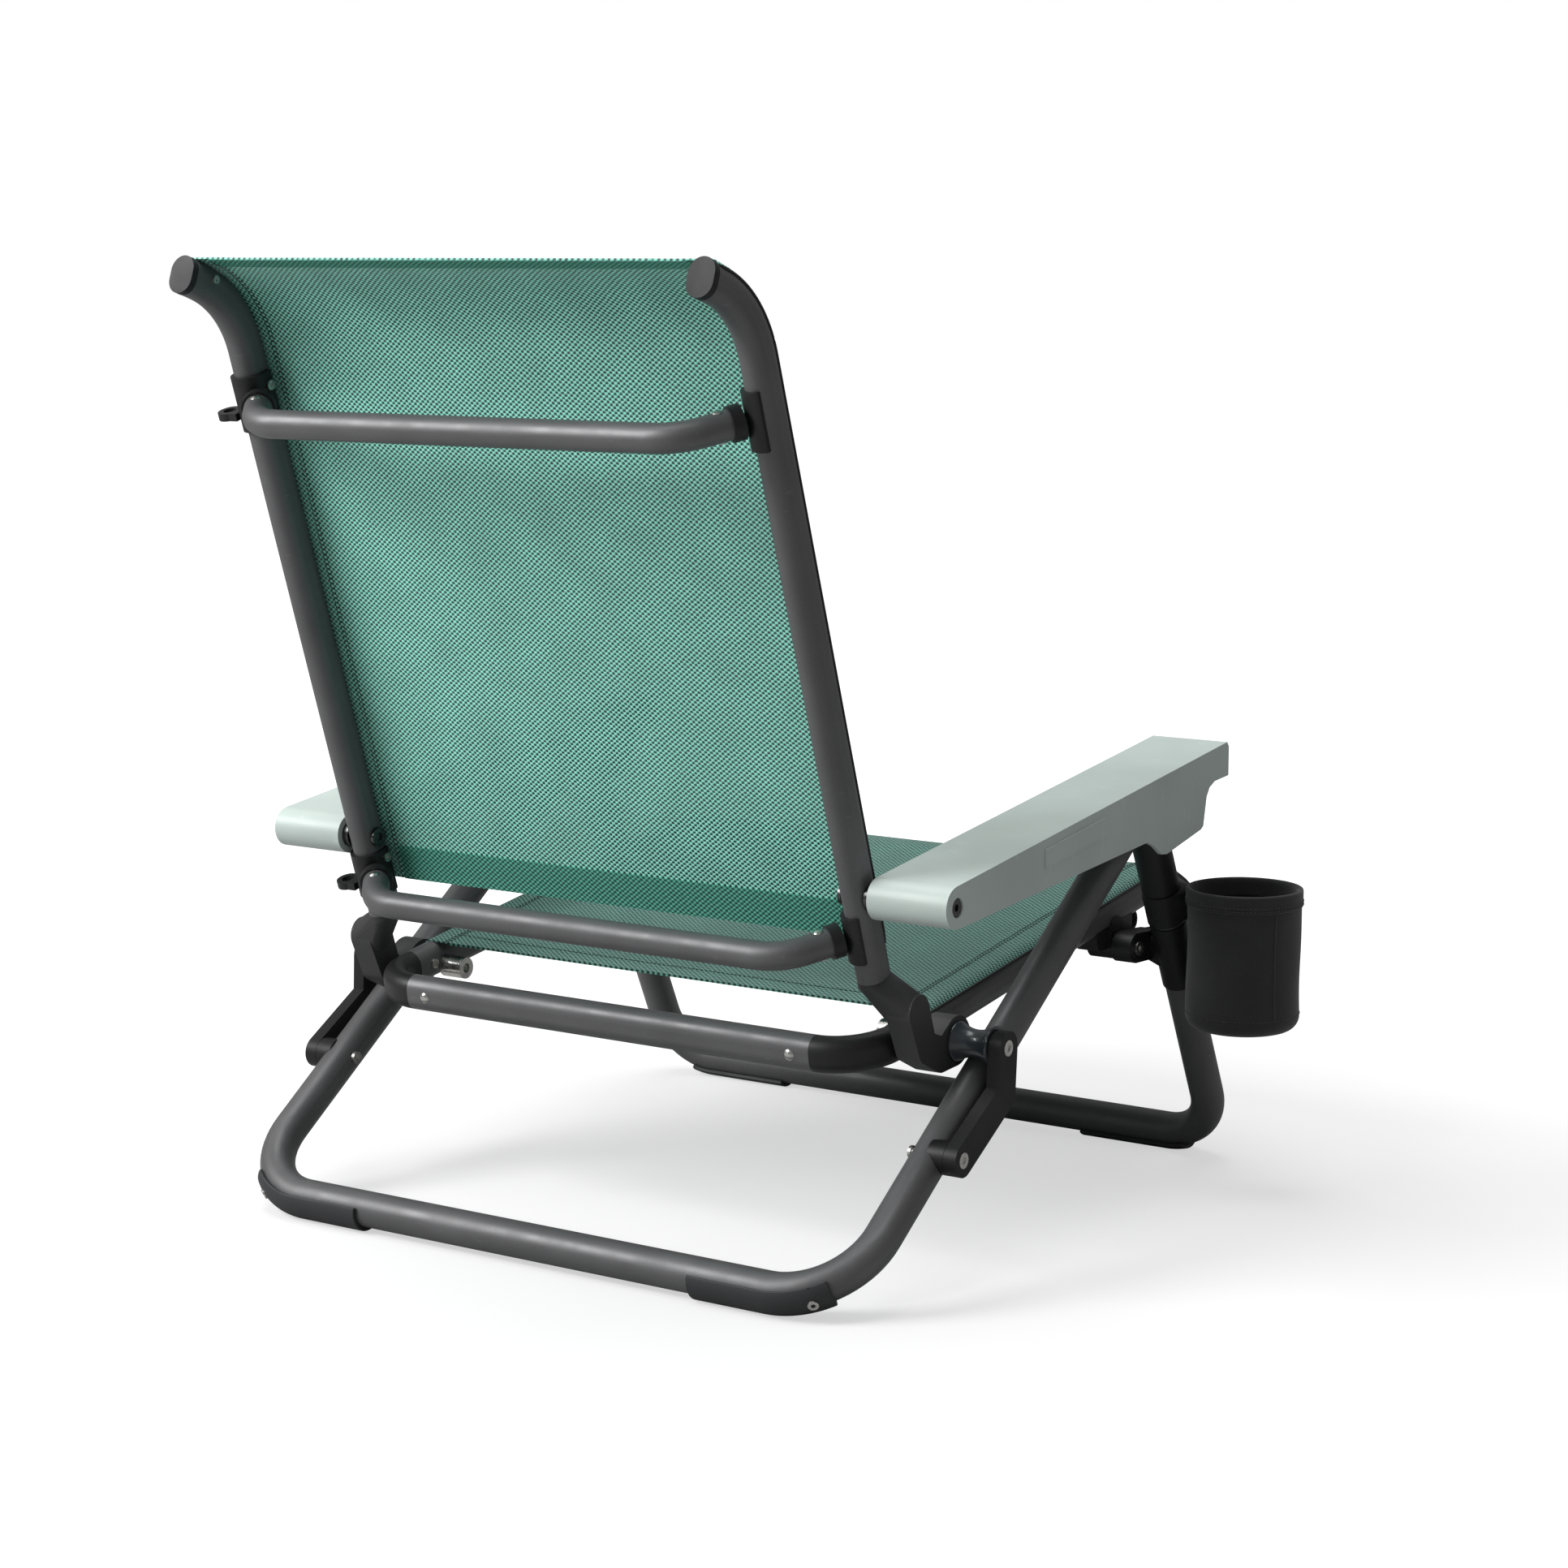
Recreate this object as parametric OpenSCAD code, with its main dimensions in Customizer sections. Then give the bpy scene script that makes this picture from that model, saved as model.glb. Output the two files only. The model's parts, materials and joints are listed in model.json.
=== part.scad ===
// Low folding beach chair: two U-shaped legs, a sling seat and a reclining sling back.
// Units are millimetres. The sitter faces -Y, +X is the sitter's left, the floor is z = 0.

/* [Frame] */
// Distance from the middle plane to the stiles and the seat rails
rail_x = 240; // [225:1:255]
// Distance from the middle plane to the tubes of the rear leg
leg_x = 290; // [289:1:292]
// Distance from the middle plane to the tubes of the front leg
front_leg_x = 287; // [286:1:289]
// Width of the stile and rail extrusion
section_w = 22; // [20:0.5:23]
// Depth of the stile and rail extrusion
section_d = 29; // [27:0.5:30]
// Wall of the extrusion
section_wall = 1.8; // [1.2:0.1:2.4]
// Outer diameter of the leg tubes
leg_d = 28.6; // [27:0.1:28.6]
// Wall of the leg tubes
leg_wall = 1.6; // [1.2:0.1:2.4]
// Outer diameter of the two back crossbars
bar_d = 22.2; // [20:0.1:24]

/* [Back] */
// Lean of the stiles from the vertical, in degrees
back_lean = 18.1; // [15:0.1:20]
// Straight length of a stile above the armrest pivot
stile_rise = 419; // [405:1:430]
// Length of a stile below the armrest pivot
stile_drop = 68; // [64:1:70]
// Centreline radius of the bend at the top of a stile
stile_bend_r = 80; // [70:1:90]
// Angle of that bend, in degrees
stile_bend_angle = 53.1301; // [50:0.0001:60]
// Straight end behind that bend
stile_end = 12.5; // [6:0.5:14]

/* [Seat] */
// Rise of the seat towards the front, in degrees
seat_pitch = 8.7; // [7:0.1:10]
// Straight length of a seat rail
rail_length = 392; // [380:1:396]
// Centreline radius of the roll at the front of a rail
rail_bend_r = 80; // [70:1:90]
// Angle of that roll, in degrees
rail_bend_angle = 53.1301; // [40:0.0001:55]
// Centreline radius of the two rear corners
elbow_r = 43; // [40:1:48]

/* [Legs] */
// Length of the rear leg from the ground bar to its top
rear_leg_length = 516; // [514:1:517]
// Slope of the rear leg from the horizontal, in degrees
rear_leg_slope = 35.2; // [34:0.1:36]
// Bend radius of the rear leg
rear_bend_r = 65; // [55:1:75]
// Length of the front leg from the ground bar to its top
front_leg_length = 346; // [340:1:350]
// Slope of the front leg from the vertical, in degrees
front_leg_lean = 25; // [24:0.1:26]
// Bend radius of the front leg
front_bend_r = 46; // [42:1:55]
// Thickness of the foot pads under the tubes
pad_t = 3.5; // [3:0.1:4]

/* [Armrests] */
// Width of an armrest
armrest_w = 69; // [66:1:70]
// Wall of the armrest shell
armrest_wall = 3.5; // [3:0.1:4]

/* [Cup holder] */
// Outer diameter of the pouch
cup_d = 94; // [88:1:95]
// Height of the pouch
cup_h = 117; // [105:1:120]

/* [Hidden] */
$fn = 48;

// The model is drawn about the chair's middle plane, then moved so that the origin is at
// the middle of the floor area that it covers.
origin_shift = [38.9, 266.4, 0];

// Pivot axes, all along X, as [y, z]
armrest_pivot = [-103.8, 298.2];
hinge_pivot = [-189, 176.8];
link_pivot = [-125.5, 103.5];
front_pivot = [-478, 200];
apex_pivot = [-422.9, 310.7];

// Colours
frame_grey = [0.30, 0.30, 0.31];
plastic_black = [0.13, 0.13, 0.14];
sage = [0.72, 0.77, 0.75];
mint = [0.30, 0.66, 0.55];
spool_blue = [0.22, 0.27, 0.31];
steel = [0.72, 0.72, 0.70];

// Running gap between a pin and its hole, and gap between loosely fitted faces
fit_gap = 0.05;
loose_gap = 0.3;
// How far the hollow of a tube is cut past its open ends
cut_past = 1;
bolt_r = 4;
bush_r = 7;
hinge_bush_r = 12;

leg_r = leg_d / 2;
foot_z = leg_r + pad_t;
rear_bar = [-8, foot_z];
front_bar = [-597, foot_z];
seat_rear = [-112, 171.6];

// Places across the chair, outwards from the middle plane
rail_in = rail_x - section_w / 2;
rail_out = rail_x + section_w / 2;
hook_in = rail_out + 2.5;
hook_out = hook_in + 21;
spool_in = hook_out + loose_gap;
link_in = 309;
link_out = 320;
spool_out = link_in - loose_gap;
armrest_in = 257;
armrest_out = armrest_in + armrest_w;

// ---------- placing ----------

module placed() { translate(origin_shift) children(); }

// Draws the children for the +X side when side is 1, and mirrored when it is -1
module on_side(side) { mirror([side < 0 ? 1 : 0, 0, 0]) children(); }

module both_sides() {
    for (side = [1, -1]) on_side(side) children();
}

// The back's own frame: z runs up the stile from the armrest pivot, y points to the rear
module back_frame() {
    translate([0, armrest_pivot[0], armrest_pivot[1]]) rotate([-back_lean, 0, 0]) children();
}

// The seat's own frame: -y runs forwards along the rails from the rear bar, z is square to it
module seat_frame() {
    translate([0, seat_rear[0], seat_rear[1]]) rotate([-seat_pitch, 0, 0]) children();
}

// A leg's own frame: z runs up the leg from the ground bar
module rear_leg_frame() {
    translate([0, rear_bar[0], rear_bar[1]]) rotate([90 - rear_leg_slope, 0, 0]) children();
}

module front_leg_frame() {
    translate([0, front_bar[0], front_bar[1]]) rotate([-front_leg_lean, 0, 0]) children();
}

// ---------- shapes ----------

// Extrudes a side outline, drawn as [y, z], from x0 to x1
module side_slab(x0, x1) {
    translate([x0, 0, 0]) rotate([90, 0, 90]) linear_extrude(x1 - x0) children();
}

// Cylinder along X at [y, z]
module rod_x(at, r, x0, x1) {
    translate([x0, at[0], at[1]]) rotate([0, 90, 0]) cylinder(h = x1 - x0, r = r);
}

// Sweeps a section round an arc about the X axis; 0 degrees is +y and 90 degrees is +z
module arc_about_x(from, to, radius) {
    rotate([90, 0, 90]) rotate(from) rotate_extrude(angle = to - from)
        translate([radius, 0]) children();
}

// Sweeps a section round an arc about the -Y axis; 0 degrees is +x and 90 degrees is +z
module arc_about_y(from, to, radius) {
    rotate([90, 0, 0]) rotate(from) rotate_extrude(angle = to - from)
        translate([radius, 0]) children();
}

module stadium(w, d) {
    square([w, d - w], center = true);
    for (end = [-1, 1]) translate([0, end * (d - w) / 2]) circle(d = w);
}

module hollow_section() {
    stadium(section_w - 2 * section_wall, section_d - 2 * section_wall);
}

// Section of a plug that fits inside a stile or a rail
module tenon_section() {
    stadium(section_w - 2 * section_wall - 0.3, section_d - 2 * section_wall - 0.3);
}

module ring(outer_r, inner_r) {
    difference() {
        circle(r = outer_r);
        circle(r = inner_r);
    }
}

// A straight bar with round ends between two points of an outline
module bar_outline(a, b, r_a, r_b) {
    translate(a) circle(r = r_a);
    translate(b) circle(r = r_b);
    turn = atan2(b[1] - a[1], b[0] - a[0]);
    side = turn + 90 - asin((r_a - r_b) / norm(b - a));
    other = 2 * turn - side;
    polygon([
        a + r_a * [cos(side), sin(side)],
        b + r_b * [cos(side), sin(side)],
        b + r_b * [cos(other), sin(other)],
        a + r_a * [cos(other), sin(other)]
    ]);
}

// Button head with a socket, along +X from x0
module button_head(at, r, h, x0, face) {
    difference() {
        rod_x(at, r, x0, x0 + h);
        rod_x(at, r * 0.42, face > 0 ? x0 + h * 0.45 : x0 - 1, face > 0 ? x0 + h + 1 : x0 + h * 0.55);
    }
}

// Low domed rivet head standing on z = 0
module rivet_head(r) {
    intersection() {
        translate([0, 0, -r * 0.9]) sphere(r = r * 1.45);
        cylinder(r = r, h = r);
    }
}

// ---------- back ----------

module stile_path(past) {
    translate([0, 0, -stile_drop - past]) linear_extrude(stile_drop + stile_rise + past) children();
    translate([0, stile_bend_r, stile_rise])
        arc_about_x(180 - stile_bend_angle, 180, stile_bend_r) rotate(90) children();
    stile_tail() linear_extrude(stile_end + past) children();
}

module stile(side) {
    on_side(side) color(frame_grey) back_frame() difference() {
        translate([rail_x, 0, 0]) stile_path(0) stadium(section_w, section_d);
        translate([rail_x, 0, 0]) stile_path(cut_past) hollow_section();
        rod_x([0, 0], bolt_r, rail_in - 1, rail_out + 1);
    }
}

// The frame at the end of the bend, z pointing out of the stile's end
module stile_tail() {
    translate([0, stile_bend_r, stile_rise]) rotate([-stile_bend_angle, 0, 0])
        translate([0, -stile_bend_r, 0]) children();
}

module stile_left() { placed() stile(1); }

module stile_right() { placed() stile(-1); }

module stile_caps() {
    cap_t = 6;
    placed() both_sides() color(plastic_black) back_frame() translate([rail_x, 0, 0])
        stile_tail() translate([0, 0, stile_end]) {
            translate([0, 0, 0.1]) linear_extrude(cap_t) stadium(section_w + 0.6, section_d + 0.6);
            translate([0, 0, -14]) linear_extrude(14.2) tenon_section();
        }
}

// Crossbar: a straight middle, then two bends that bring its ends forwards to the stiles
upper_bar_z = 378;
lower_bar_z = -30.7;
bar_y = 52;
bar_end = [224, 17.2];
eyelet_r = 5;
eyelet_t = 6;
eyelet_reach = 13;
eyelet_y = 9;
eyelet_z = -13;
bar_turn = 53.1301;
bar_wall = 1.5;
bar_bend_r = 42;
bar_corner_x = bar_end[0] - (bar_y - bar_end[1]) / tan(bar_turn);
bar_trim = bar_bend_r * tan(bar_turn / 2);
bar_slant = norm([bar_end[0] - bar_corner_x, bar_y - bar_end[1]]) - bar_trim;

module crossbar_path(r, past) {
    half = bar_corner_x - bar_trim;
    translate([-half, bar_y, 0]) rotate([0, 90, 0]) cylinder(h = 2 * half, r = r);
    both_sides() translate([half, bar_y - bar_bend_r, 0]) {
        rotate(90 - bar_turn) rotate_extrude(angle = bar_turn) translate([bar_bend_r, 0]) circle(r = r);
        rotate(90 - bar_turn) translate([bar_bend_r, 0, 0]) rotate([90, 0, 0])
            cylinder(h = bar_slant + past, r = r);
    }
}

module crossbar(z) {
    color(frame_grey) back_frame() translate([0, 0, z]) difference() {
        crossbar_path(bar_d / 2, 0);
        crossbar_path(bar_d / 2 - bar_wall, cut_past);
    }
}

module upper_crossbar() { placed() crossbar(upper_bar_z); }

module lower_crossbar() { placed() crossbar(lower_bar_z); }

// Socket that carries one end of a crossbar on the inner rear side of a stile
module bracket(side, z, half_h, eyelet) {
    saddle_t = 3.2;
    socket_r = bar_d / 2 + 2.2;
    on_side(side) color(plastic_black) back_frame() translate([0, 0, z]) difference() {
        union() {
            translate([rail_x, 0, -half_h]) linear_extrude(2 * half_h) intersection() {
                stadium(section_w + 2 * saddle_t, section_d + 2 * saddle_t);
                translate([-20, -7]) square([eyelet ? 40 : 26, 40]);
            }
            translate([bar_end[0], bar_end[1], 0]) rotate(-bar_turn) rotate([0, 90, 0])
                translate([0, 0, -5]) cylinder(h = 9, r = socket_r);
            if (eyelet) translate([rail_out + eyelet_reach, eyelet_y, eyelet_z]) {
                cylinder(h = eyelet_t, r = eyelet_r + 4.5);
                translate([-eyelet_reach, -8, 0]) cube([eyelet_reach, 16, eyelet_t]);
            }
        }
        translate([rail_x, 0, -half_h - 1])
            linear_extrude(2 * half_h + 2) stadium(section_w + 0.2, section_d + 0.2);
        translate([bar_end[0], bar_end[1], 0]) rotate(-bar_turn) rotate([0, 90, 0])
            translate([0, 0, -40]) cylinder(h = 40.1, r = bar_d / 2 + 0.1);
        if (eyelet) translate([rail_out + eyelet_reach, eyelet_y, eyelet_z - 1])
            cylinder(h = eyelet_t + 2, r = eyelet_r);
    }
}

module upper_bracket_left() { placed() bracket(1, upper_bar_z, 22, true); }

module upper_bracket_right() { placed() bracket(-1, upper_bar_z, 22, false); }

module lower_bracket_left() { placed() bracket(1, lower_bar_z, 19, true); }

module lower_bracket_right() { placed() bracket(-1, lower_bar_z, 19, false); }

// The sling lies on the front of the stiles and follows their top bend
sling_t = 1.6;
sling_half_w = rail_x + 7;
sling_bottom = -44;

module back_sling() {
    front = section_d / 2 + loose_gap;
    placed() color(mint) back_frame() {
        translate([-sling_half_w, -front - sling_t, sling_bottom])
            cube([2 * sling_half_w, sling_t, stile_rise - sling_bottom]);
        translate([0, stile_bend_r, stile_rise])
            arc_about_x(180 - stile_bend_angle, 180, stile_bend_r + front)
                translate([0, -sling_half_w]) square([sling_t, 2 * sling_half_w]);
        stile_tail() translate([-sling_half_w, -front - sling_t, 0])
            cube([2 * sling_half_w, sling_t, stile_end - 1]);
    }
}

// ---------- hooks between the back and the hinge ----------

hook_shoulder = [-135, 208];
hook_bend = [-146.5, 179];

// The hook steps outwards below the stile and curves forwards round the hinge
module hook(side) {
    on_side(side) color(frame_grey) difference() {
        union() {
            back_frame() translate([rail_x, 0, -stile_drop - 0.2]) linear_extrude(18) tenon_section();
            hull() {
                back_frame() translate([rail_x, 0, -stile_drop - 5])
                    linear_extrude(4.9) stadium(section_w, section_d);
                side_slab(hook_in + 0.4, hook_out - 0.4) translate(hook_shoulder) circle(r = 13.4);
            }
            side_slab(hook_in, hook_out) {
                bar_outline(hook_shoulder, hook_bend, 14, 12.5);
                bar_outline(hook_bend, [-168, 169.5], 12.5, 13.5);
                bar_outline([-168, 169.5], hinge_pivot, 13.5, 19.5);
            }
        }
        rod_x(hinge_pivot, hinge_bush_r + fit_gap, hook_in - 1, hook_out + 1);
    }
}

module hook_left() { placed() hook(1); }

module hook_right() { placed() hook(-1); }

module back_bushes() {
    placed() both_sides() color(steel) difference() {
        rod_x(hinge_pivot, hinge_bush_r, hook_in, hook_out);
        rod_x(hinge_pivot, bolt_r + fit_gap, hook_in - 1, hook_out + 1);
    }
}

module back_rivets() {
    placed() both_sides() color(steel) back_frame() for (z = [upper_bar_z, lower_bar_z]) {
        translate([216.5, 26.4, z + bar_d / 2 - 0.6]) rivet_head(4);
        translate([216.5, 26.4, z - bar_d / 2 + 0.6]) mirror([0, 0, 1]) rivet_head(4);
    }
}

// Screws through the inner side of the stiles: two per bracket row and one near the top
module back_screws() {
    placed() both_sides() color(steel) back_frame() {
        for (z = [upper_bar_z + 11, lower_bar_z + 12])
            button_head([-1.5, z], 4, 2.4, rail_in - 5.5, -1);
        translate([0, stile_bend_r, stile_rise]) rotate([-49, 0, 0])
            button_head([-stile_bend_r - 4, 0], 3.2, 2, rail_in - 1.95, -1);
    }
}

// ---------- armrests ----------

// Side outline of an armrest; its top falls towards the rear in a straight line
arm_tip = [-530, 343];
arm_top_front = [-527, 371];
arm_end_r = 16;

module arm_outline() {
    translate(armrest_pivot) circle(r = arm_end_r);
    polygon([
        [armrest_pivot[0] + 2, armrest_pivot[1] + arm_end_r],
        arm_top_front, [-530, 367], arm_tip, [-506, 341], [-497, 337], [-492, 330],
        [-487, 306.5], [-483, 304], [-425, 292], [-416, 293], [-404, 301], [-392, 306],
        [armrest_pivot[0] - 1, armrest_pivot[1] - arm_end_r]
    ]);
}

// The channel under the armrest that holds the tops of the legs
module arm_channel() {
    polygon([
        [-145, 309.5 - armrest_wall], [arm_top_front[0] + 7, 369.8 - armrest_wall],
        [-524, 362], [-524, 330], [-482, 280], [-145, 280]
    ]);
}

module armrest(side) {
    on_side(side) color(sage) difference() {
        side_slab(armrest_in, armrest_out) arm_outline();
        side_slab(armrest_in + armrest_wall, armrest_out - armrest_wall) arm_channel();
        rod_x(armrest_pivot, bush_r + fit_gap, armrest_in - 1, armrest_out - 6);
        rod_x(armrest_pivot, 7.5, armrest_out - 6, armrest_out + 1);
    }
    // Raised panel on the outer side
    on_side(side) color(sage) side_slab(armrest_out - 0.5, armrest_out + 1.2)
        polygon([[-322, 336], [-229, 323.5], [-229, 309], [-322, 321]]);
    // Notched rack over the leg tops
    on_side(side) color(sage) side_slab(armrest_in + 27, armrest_in + 42) difference() {
        polygon([[-478, 364], [-400, 353], [-400, 346], [-478, 356]]);
        for (step = [0:2]) translate([-462 + 23 * step, 353.7 - 2.9 * step]) circle(r = 4);
    }
}

module armrest_left() { placed() armrest(1); }

module armrest_right() { placed() armrest(-1); }

module armrest_bush(side) {
    on_side(side) color(steel) difference() {
        rod_x(armrest_pivot, bush_r, armrest_in, armrest_out - 6.3);
        rod_x(armrest_pivot, bolt_r + fit_gap, armrest_in - 1, armrest_out);
    }
}

module armrest_bush_left() { placed() armrest_bush(1); }

module armrest_bush_right() { placed() armrest_bush(-1); }

module armrest_bolt(side) {
    on_side(side) color(steel) {
        rod_x(armrest_pivot, bolt_r - fit_gap, rail_in - 1, armrest_out - 3);
        button_head(armrest_pivot, 8, 3, rail_in - 3.1, -1);
        button_head(armrest_pivot, 6.5, 3.5, armrest_out - 4.5, 1);
        difference() {
            rod_x(armrest_pivot, 11, rail_out + 0.1, armrest_in - 0.3);
            rod_x(armrest_pivot, bolt_r - 0.5, rail_out - 1, armrest_in);
        }
    }
}

module armrest_bolt_left() { placed() armrest_bolt(1); }

module armrest_bolt_right() { placed() armrest_bolt(-1); }

// ---------- seat ----------

rail_start = -elbow_r - 3;
rail_end = rail_start - rail_length;

// The frame at the end of a rail's front roll, z pointing back along the rail
module rail_nose() {
    translate([rail_x, rail_end, -rail_bend_r]) rotate([rail_bend_angle, 0, 0])
        translate([0, 0, rail_bend_r]) children();
}

module rail_path(past) {
    translate([rail_x, rail_start + past, 0]) rotate([90, 0, 0])
        linear_extrude(rail_length + past) children();
    translate([rail_x, rail_end, -rail_bend_r])
        arc_about_x(90, 90 + rail_bend_angle, rail_bend_r) rotate(90) children();
    rail_nose() rotate([90, 0, 0]) linear_extrude(8 + past) children();
}

module seat_rail(side) {
    on_side(side) color(frame_grey) difference() {
        seat_frame() rail_path(0) stadium(section_w, section_d);
        seat_frame() rail_path(cut_past) hollow_section();
        rod_x(hinge_pivot, bolt_r, rail_in - 1, rail_out + 1);
    }
}

module seat_rail_left() { placed() seat_rail(1); }

module seat_rail_right() { placed() seat_rail(-1); }

module rail_plugs() {
    placed() both_sides() color(plastic_black) seat_frame() rail_nose() {
        translate([0, -8.1, 0]) rotate([90, 0, 0])
            linear_extrude(4) stadium(section_w, section_d);
        translate([0, 4, 0]) rotate([90, 0, 0]) linear_extrude(12.2) tenon_section();
    }
}

rear_bar_half = rail_x - elbow_r;

module seat_rear_bar() {
    placed() color(frame_grey) seat_frame() difference() {
        translate([-rear_bar_half, 0, 0]) rotate([0, 90, 0])
            linear_extrude(2 * rear_bar_half) rotate(90) stadium(section_w, section_d);
        translate([-rear_bar_half - cut_past, 0, 0]) rotate([0, 90, 0])
            linear_extrude(2 * rear_bar_half + 2 * cut_past) rotate(90) hollow_section();
    }
}

module seat_elbow(side) {
    on_side(side) color(plastic_black) seat_frame() {
        translate([rear_bar_half, -elbow_r, 0]) rotate_extrude(angle = 90)
            translate([elbow_r, 0]) stadium(section_w, section_d);
        translate([rail_x, rail_start + 3, 0]) rotate([90, 0, 0])
            linear_extrude(2.9) stadium(section_w, section_d);
        translate([rail_x, rail_start + 1, 0]) rotate([90, 0, 0])
            linear_extrude(22) tenon_section();
        translate([rear_bar_half - 22, 0, 0]) rotate([0, 90, 0])
            linear_extrude(23) rotate(90) tenon_section();
    }
}

module seat_elbow_left() { placed() seat_elbow(1); }

module seat_elbow_right() { placed() seat_elbow(-1); }

// Round bar under the front of the seat, with flattened ends screwed to the rails
module seat_front_bar() {
    reach = rail_x - 2;
    placed() color(frame_grey) seat_frame() translate([0, rail_end + 18, -section_d / 2 - 9.3])
        difference() {
            translate([-reach, 0, 0]) rotate([0, 90, 0]) linear_extrude(2 * reach)
                ring(9, 7.5);
            both_sides() translate([reach - 12, 0, -12]) cylinder(h = 24, r = 2.6);
        }
}

seat_front = section_d / 2 + loose_gap;

module seat_sling() {
    placed() color(mint) seat_frame() {
        translate([-sling_half_w, rail_end, seat_front])
            cube([2 * sling_half_w, rail_start - 28 - rail_end, sling_t]);
        translate([0, rail_end, -rail_bend_r])
            arc_about_x(90, 90 + rail_bend_angle, rail_bend_r + seat_front)
                translate([0, -sling_half_w]) square([sling_t, 2 * sling_half_w]);
    }
}

module seat_rivets() {
    placed() both_sides() color(steel) seat_frame() {
        translate([179, section_w / 2 - 0.6, 0]) rotate([-90, 0, 0]) rivet_head(4.5);
        button_head([-62, 0], 4, 2.4, rail_in - 2.3, -1);
    }
}

// Block under a rail that the front leg's tee is pinned to
module front_mount(side) {
    on_side(side) color(plastic_black) difference() {
        union() {
            side_slab(rail_x - 10, rail_out + 1.5)
                bar_outline(front_pivot, front_pivot + [0, 14], 11, 11);
            side_slab(rail_x - 10, rail_x + 10)
                polygon([[-508, 208], [-505, 199], [-452, 199], [-448, 208],
                    [-448, 226], [-508, 234]]);
        }
        seat_frame() translate([rail_x, 0, 0]) rotate([90, 0, 0])
            linear_extrude(500) stadium(section_w + 0.2, section_d + 0.2);
        rod_x(front_pivot, bolt_r, rail_in - 1, rail_out + 3);
    }
}

module front_mount_left() { placed() front_mount(1); }

module front_mount_right() { placed() front_mount(-1); }

tee_in = rail_out + 2.5;
tee_out = tee_in + 18;
tee_corner = [-515, 198];

module front_pins() {
    placed() both_sides() color(steel) {
        rod_x(front_pivot, bolt_r - fit_gap, rail_x - 12, tee_out + 1);
        button_head(front_pivot, 6.5, 2.4, rail_x - 12.5, -1);
        button_head(front_pivot, 6, 2.4, tee_out + 0.3, 1);
    }
}

// Hinge bolt through the rail, the hook, the spool and the link
module hinge_bolt(side) {
    on_side(side) color(steel) {
        rod_x(hinge_pivot, bolt_r - fit_gap, rail_in - 1, link_out - 1);
        difference() {
            rod_x(hinge_pivot, 9, rail_in - 22, rail_in - 0.1);
            rod_x(hinge_pivot, 4, rail_in - 23, rail_in - 18);
        }
        button_head(hinge_pivot, 6.2, 3, link_out - 3, 1);
    }
}

module hinge_bolt_left() { placed() hinge_bolt(1); }

module hinge_bolt_right() { placed() hinge_bolt(-1); }

// Waisted bumper on the hinge bolt; the rear leg rests in its waist when the chair is open
spool_end_r = 15.4;
spool_waist_r = 10.8;

module spool(side) {
    half = (spool_out - spool_in) / 2;
    rise = spool_end_r - spool_waist_r;
    groove_r = (pow(half - 2, 2) + rise * rise) / (2 * rise);
    on_side(side) color(spool_blue)
        translate([spool_in + half, hinge_pivot[0], hinge_pivot[1]]) rotate([0, 90, 0])
            rotate_extrude($fn = 64) difference() {
                translate([bolt_r, -half]) square([spool_end_r - bolt_r, 2 * half]);
                translate([spool_waist_r + groove_r, 0]) circle(r = groove_r, $fn = 160);
            }
}

module spool_left() { placed() spool(1); }

module spool_right() { placed() spool(-1); }

// ---------- links ----------

module link(side) {
    elbow = [-187, 141];
    on_side(side) color(plastic_black) difference() {
        side_slab(link_in, link_out) {
            bar_outline(hinge_pivot, elbow, 13, 12.5);
            bar_outline(elbow, link_pivot, 12.5, 13);
        }
        for (at = [hinge_pivot, link_pivot]) {
            rod_x(at, bolt_r, link_in - 1, link_out + 1);
            rod_x(at, 6.6, link_out - 3.3, link_out + 1);
        }
    }
}

module link_left() { placed() link(1); }

module link_right() { placed() link(-1); }

module link_bolts() {
    placed() both_sides() color(steel) {
        rod_x(link_pivot, bolt_r - fit_gap, link_in + 0.2, link_out - 1);
        button_head(link_pivot, 6.2, 3, link_out - 3, 1);
    }
}

// ---------- legs ----------

// U-shaped tube: a ground bar, two bends and two straight legs at x
module leg_path(x, length, bend_r, r) {
    half = x - bend_r;
    translate([-half, 0, 0]) rotate([0, 90, 0]) cylinder(h = 2 * half, r = r);
    both_sides() {
        translate([half, 0, bend_r]) arc_about_y(-90, 0, bend_r) circle(r = r);
        translate([x, 0, bend_r]) cylinder(h = length - bend_r, r = r);
    }
}

module leg_tube(x, length, bend_r) {
    difference() {
        leg_path(x, length, bend_r, leg_r);
        leg_path(x, length + cut_past, bend_r, leg_r - leg_wall);
    }
}

// Foot pad: a part ring under the ground bar and the start of one bend
module foot_pad(half, bend_r, inner_x, turn, spread, sweep) {
    translate([inner_x, 0, 0]) rotate([90, 0, 90]) linear_extrude(half - inner_x)
        rotate(-90) pad_section(-turn, spread);
    translate([half, 0, bend_r]) arc_about_y(-90, sweep - 90, bend_r) pad_section(turn, spread);
}

module pad_section(turn, spread) {
    reach = 3 * leg_r;
    intersection() {
        ring(leg_r + pad_t, leg_r + 0.1);
        polygon(concat([[0, 0]],
            [for (a = [-1:0.5:1]) reach * [cos(a * spread + turn), sin(a * spread + turn)]]));
    }
}

module rear_leg() {
    placed() color(frame_grey) difference() {
        rear_leg_frame() leg_tube(leg_x, rear_leg_length, rear_bend_r);
        both_sides() for (at = [link_pivot, apex_pivot])
            rod_x(at, bolt_r, leg_x - 20, leg_x + 20);
    }
}

rear_pad_turn = 30;
front_pad_turn = -6;

module rear_foot(side) {
    on_side(side) color(plastic_black) rear_leg_frame()
        foot_pad(leg_x - rear_bend_r, rear_bend_r, 162, rear_pad_turn, 80, 42);
}

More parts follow.
